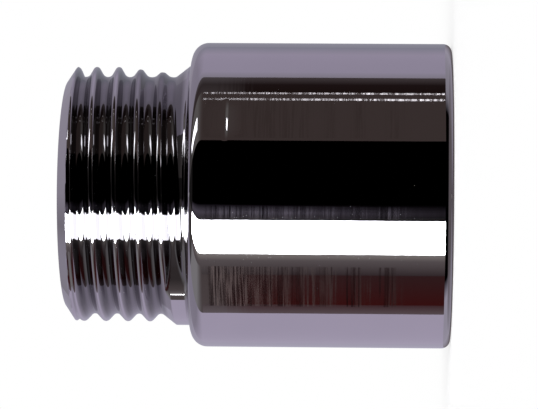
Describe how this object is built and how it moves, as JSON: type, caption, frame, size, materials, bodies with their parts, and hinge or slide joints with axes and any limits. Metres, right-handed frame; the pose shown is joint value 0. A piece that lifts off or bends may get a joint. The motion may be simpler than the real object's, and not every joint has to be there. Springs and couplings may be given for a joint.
{
  "type": "pipe extension fitting",
  "caption": "Chrome-plated brass pipe extension: round body with a threaded socket in one end, male pipe thread with lead-in chamfer on the other, and a hexagonal key passage right through.",
  "frame": {"origin": "centre of the socket face, which the fitting stands on", "axes": "+Z along the fitting's axis, from the socket face to the male thread's end; X and Y are square to it, with the hexagon's flats facing +Y and -Y"},
  "size_m": [0.025, 0.025, 0.0315],
  "materials": {
    "chrome_plating": "bright chrome plating on turned brass"
  },
  "bodies": {
    "root": {"extension_fitting": "chrome_plating"}
  },
  "joints": []
}
